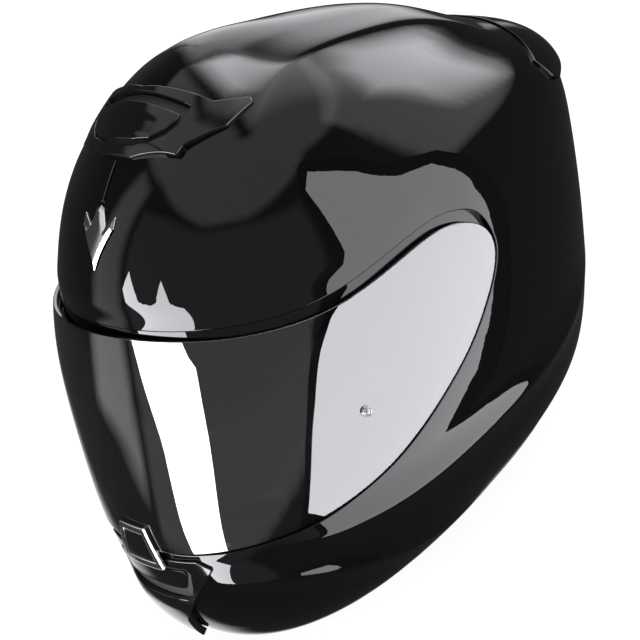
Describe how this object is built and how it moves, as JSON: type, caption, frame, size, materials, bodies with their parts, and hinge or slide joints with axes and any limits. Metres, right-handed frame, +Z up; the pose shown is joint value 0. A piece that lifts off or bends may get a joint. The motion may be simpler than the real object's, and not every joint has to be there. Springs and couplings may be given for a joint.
{
  "type": "full-face motorcycle helmet",
  "caption": "Full-face motorcycle helmet with a hinged smoke visor, sliding forehead and chin vents, padded liner and a chin strap with a ratchet buckle.",
  "frame": {"origin": "under the middle of the helmet's bounding box, on the surface it stands on", "axes": "-Y the way the face looks, +X the wearer's left, +Z up; the helmet stands on its chin bar edge and its neck roll"},
  "size_m": [0.2504, 0.3538, 0.2805],
  "materials": {
    "black_rubber": "matte",
    "bright": "polished",
    "clear_lens": "polished",
    "foam_dark": "matte",
    "gloss_black": "gloss",
    "liner_cloth": "brushed knit",
    "matte_black": "matte",
    "satin_black": "satin",
    "smoke": "polished",
    "steel": "brushed",
    "webbing": "woven"
  },
  "bodies": {
    "helmet": {"base_screw_front_left": "steel", "base_screw_front_right": "steel", "base_screw_rear_left": "steel", "base_screw_rear_right": "steel", "breath_guard": "black_rubber", "buckle_housing": "steel", "buckle_pin": "steel", "buckle_tongue": "steel", "cheek_pad_left": "liner_cloth", "cheek_pad_right": "liner_cloth", "chin_vent_cowl": "satin_black", "crown_pad": "liner_cloth", "eps_chin_liner": "foam_dark", "eps_crown_liner": "foam_dark", "eye_port_gasket": "black_rubber", "forehead_badge": "bright", "forehead_spine": "gloss_black", "forehead_vent_cover": "satin_black", "neck_roll": "liner_cloth", "outer_shell": "gloss_black", "rear_exhaust_grille": "matte_black", "rear_spoiler": "gloss_black", "rim_trim": "black_rubber", "strap_anchor_left": "steel", "strap_anchor_right": "steel", "strap_left": "webbing", "strap_right": "webbing", "strap_rivet_left": "steel", "strap_rivet_right": "steel", "visor_base_left": "matte_black", "visor_base_right": "matte_black"},
    "visor": {"antifog_lens": "clear_lens", "lens_pin_left": "bright", "lens_pin_right": "bright", "visor": "smoke", "visor_hub_left": "matte_black", "visor_hub_right": "matte_black", "visor_tab": "clear_lens"},
    "forehead_slider": {"forehead_vent_slider": "satin_black"},
    "chin_shutter": {"chin_vent_shutter": "satin_black"},
    "buckle_lever": {"buckle_lever": "satin_black"},
    "release_lever_left": {"release_lever_left": "matte_black"},
    "release_lever_right": {"release_lever_right": "matte_black"}
  },
  "joints": [
    {"name": "visor_hinge", "type": "hinge", "parent": "helmet", "child": "visor", "pos_m": [0, -0.002, 0.155], "axis": [-1, 0, 0], "range_deg": [0, 34]},
    {"name": "forehead_vent_slide", "type": "slide", "parent": "helmet", "child": "forehead_slider", "axis": [0, 0.9184, 0.3955], "range_m": [0, 0.005]},
    {"name": "chin_vent_slide", "type": "slide", "parent": "helmet", "child": "chin_shutter", "axis": [0, -0.1025, -0.9947], "range_m": [0, 0.004]},
    {"name": "buckle_lever_hinge", "type": "hinge", "parent": "helmet", "child": "buckle_lever", "pos_m": [0.038, 0.049, 0.0162], "axis": [0, 1, 0], "range_deg": [0, 35], "stiffness_Nm_per_rad": 0.02, "springref_deg": -5.73},
    {"name": "release_left_slide", "type": "slide", "parent": "helmet", "child": "release_lever_left", "axis": [0, 0, -1], "range_m": [0, 0.0025], "stiffness_N_per_m": 200, "springref_m": -0.001},
    {"name": "release_right_slide", "type": "slide", "parent": "helmet", "child": "release_lever_right", "axis": [0, 0, -1], "range_m": [0, 0.0025], "stiffness_N_per_m": 200, "springref_m": -0.001}
  ]
}
